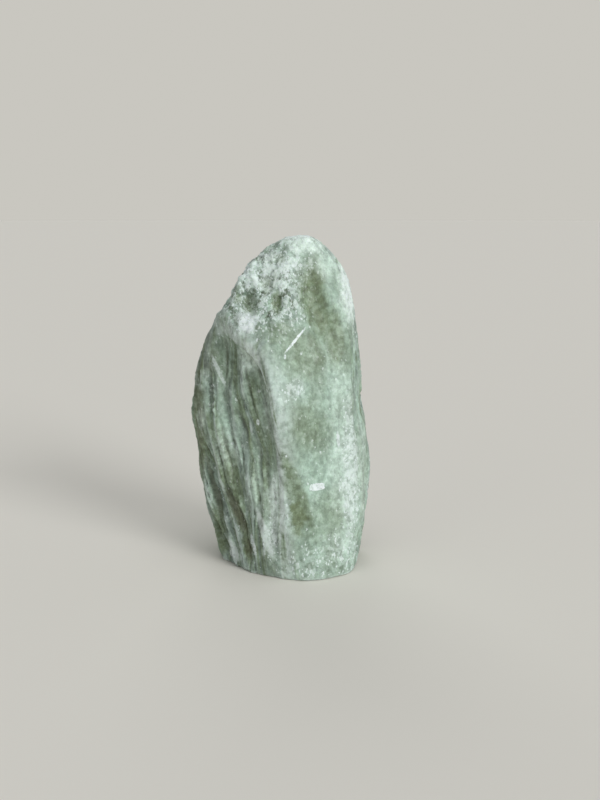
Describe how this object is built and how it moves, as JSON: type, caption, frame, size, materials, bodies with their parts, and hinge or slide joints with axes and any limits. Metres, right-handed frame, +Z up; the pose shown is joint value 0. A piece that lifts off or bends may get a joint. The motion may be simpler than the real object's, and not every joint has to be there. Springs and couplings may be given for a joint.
{
  "type": "raw soapstone",
  "caption": "Rough standing piece of unpolished green soapstone with a smooth cleavage face, a ribbed broken flank under an arched lip, a coarse pitted shoulder and a flat foot.",
  "frame": {"origin": "middle of the outer box at the flat foot, on the surface that the stone stands on", "axes": "+Z up from the foot to the crown, +X to the right and +Y to the back as the smooth face is looked at with the ribbed flank at the left"},
  "size_m": [0.0796, 0.0664, 0.1461],
  "materials": {
    "soapstone": "raw broken stone with a waxy lustre, mint green clouded with olive, with small frosted flecks"
  },
  "bodies": {
    "root": {"soapstone": "soapstone"}
  },
  "joints": []
}
